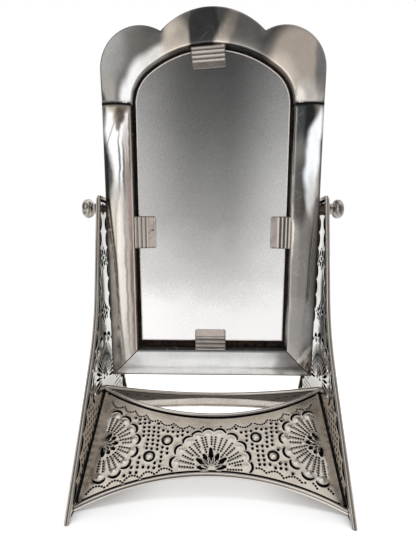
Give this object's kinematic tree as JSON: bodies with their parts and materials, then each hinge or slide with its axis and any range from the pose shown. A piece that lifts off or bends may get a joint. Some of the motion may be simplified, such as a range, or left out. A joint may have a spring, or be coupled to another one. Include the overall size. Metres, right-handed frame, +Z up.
{
  "type": "table swing mirror",
  "caption": "Tin table mirror with a scalloped crest, swinging between two flared side panels joined by arched, punched aprons.",
  "frame": {"origin": "on the table, under the middle of the stand", "axes": "+Z up, the mirror faces -Y, +X to the right when facing the mirror; the pivot axis runs along X at a height of 0.223 m"},
  "size_m": [0.2308, 0.2182, 0.3846],
  "materials": {
    "tin_sheet": "punched tin sheet, aged, soft sheen",
    "polished_tin": "polished tin sheet with blurred reflections",
    "back_tin": "plain dull tin",
    "clip_tin": "folded tin, satin",
    "dark_solder": "blackened solder",
    "iron_wire": "plain iron wire",
    "mirror_glass": "silvered plate glass",
    "dark_board": "dark hardboard",
    "dark_steel": "darkened steel",
    "polished_knob": "polished turned metal"
  },
  "bodies": {
    "stand": {"left_side_panel": "tin_sheet", "left_panel_edge_wire": "iron_wire", "right_side_panel": "tin_sheet", "right_panel_edge_wire": "iron_wire", "front_apron": "tin_sheet", "front_apron_top_wire": "iron_wire", "front_apron_bottom_wire": "iron_wire", "front_left_solder_line": "dark_solder", "front_right_solder_line": "dark_solder", "rear_apron": "tin_sheet", "rear_apron_top_wire": "iron_wire", "rear_apron_bottom_wire": "iron_wire", "rear_left_solder_line": "dark_solder", "rear_right_solder_line": "dark_solder"},
    "mirror": {"crest": "polished_tin", "left_rail": "polished_tin", "right_rail": "polished_tin", "bottom_rail": "polished_tin", "left_crest_solder": "dark_solder", "right_crest_solder": "dark_solder", "left_mitre_solder": "dark_solder", "right_mitre_solder": "dark_solder", "back_cover": "back_tin", "backing_board": "dark_board", "mirror_glass": "mirror_glass", "top_clip": "clip_tin", "left_clip": "clip_tin", "right_clip": "clip_tin", "bottom_clip": "clip_tin", "left_pivot_bolt": "dark_steel", "right_pivot_bolt": "dark_steel", "left_spacer_sleeve": "dark_steel", "right_frame_washer": "dark_steel", "right_pivot_nut": "dark_steel"},
    "left_knob_washer": {"left_knob_washer": "dark_steel"},
    "left_knob": {"left_knob": "polished_knob"},
    "right_knob_washer": {"right_knob_washer": "dark_steel"},
    "right_knob": {"right_knob": "polished_knob"}
  },
  "joints": [
    {"name": "mirror_tilt", "type": "hinge", "parent": "stand", "child": "mirror", "pos_m": [0, 0, 0.223], "axis": [1, 0, 0], "continuous": true},
    {"name": "left_washer_slide", "type": "slide", "parent": "mirror", "child": "left_knob_washer", "axis": [-1, 0, 0], "range_m": [0, 0.00317]},
    {"name": "left_knob_turn", "type": "hinge", "parent": "left_knob_washer", "child": "left_knob", "pos_m": [-0.1105, 0, 0.223], "axis": [-1, 0, 0], "range_deg": [0, 1080]},
    {"name": "right_washer_slide", "type": "slide", "parent": "mirror", "child": "right_knob_washer", "axis": [1, 0, 0], "range_m": [0, 0.00317]},
    {"name": "right_knob_turn", "type": "hinge", "parent": "right_knob_washer", "child": "right_knob", "pos_m": [0.1105, 0, 0.223], "axis": [1, 0, 0], "range_deg": [0, 1080]}
  ],
  "couplings": [
    {"joint": "left_knob_turn", "follows": "left_washer_slide", "rad_per_m": 5937.1},
    {"joint": "right_knob_turn", "follows": "right_washer_slide", "rad_per_m": 5937.1}
  ]
}
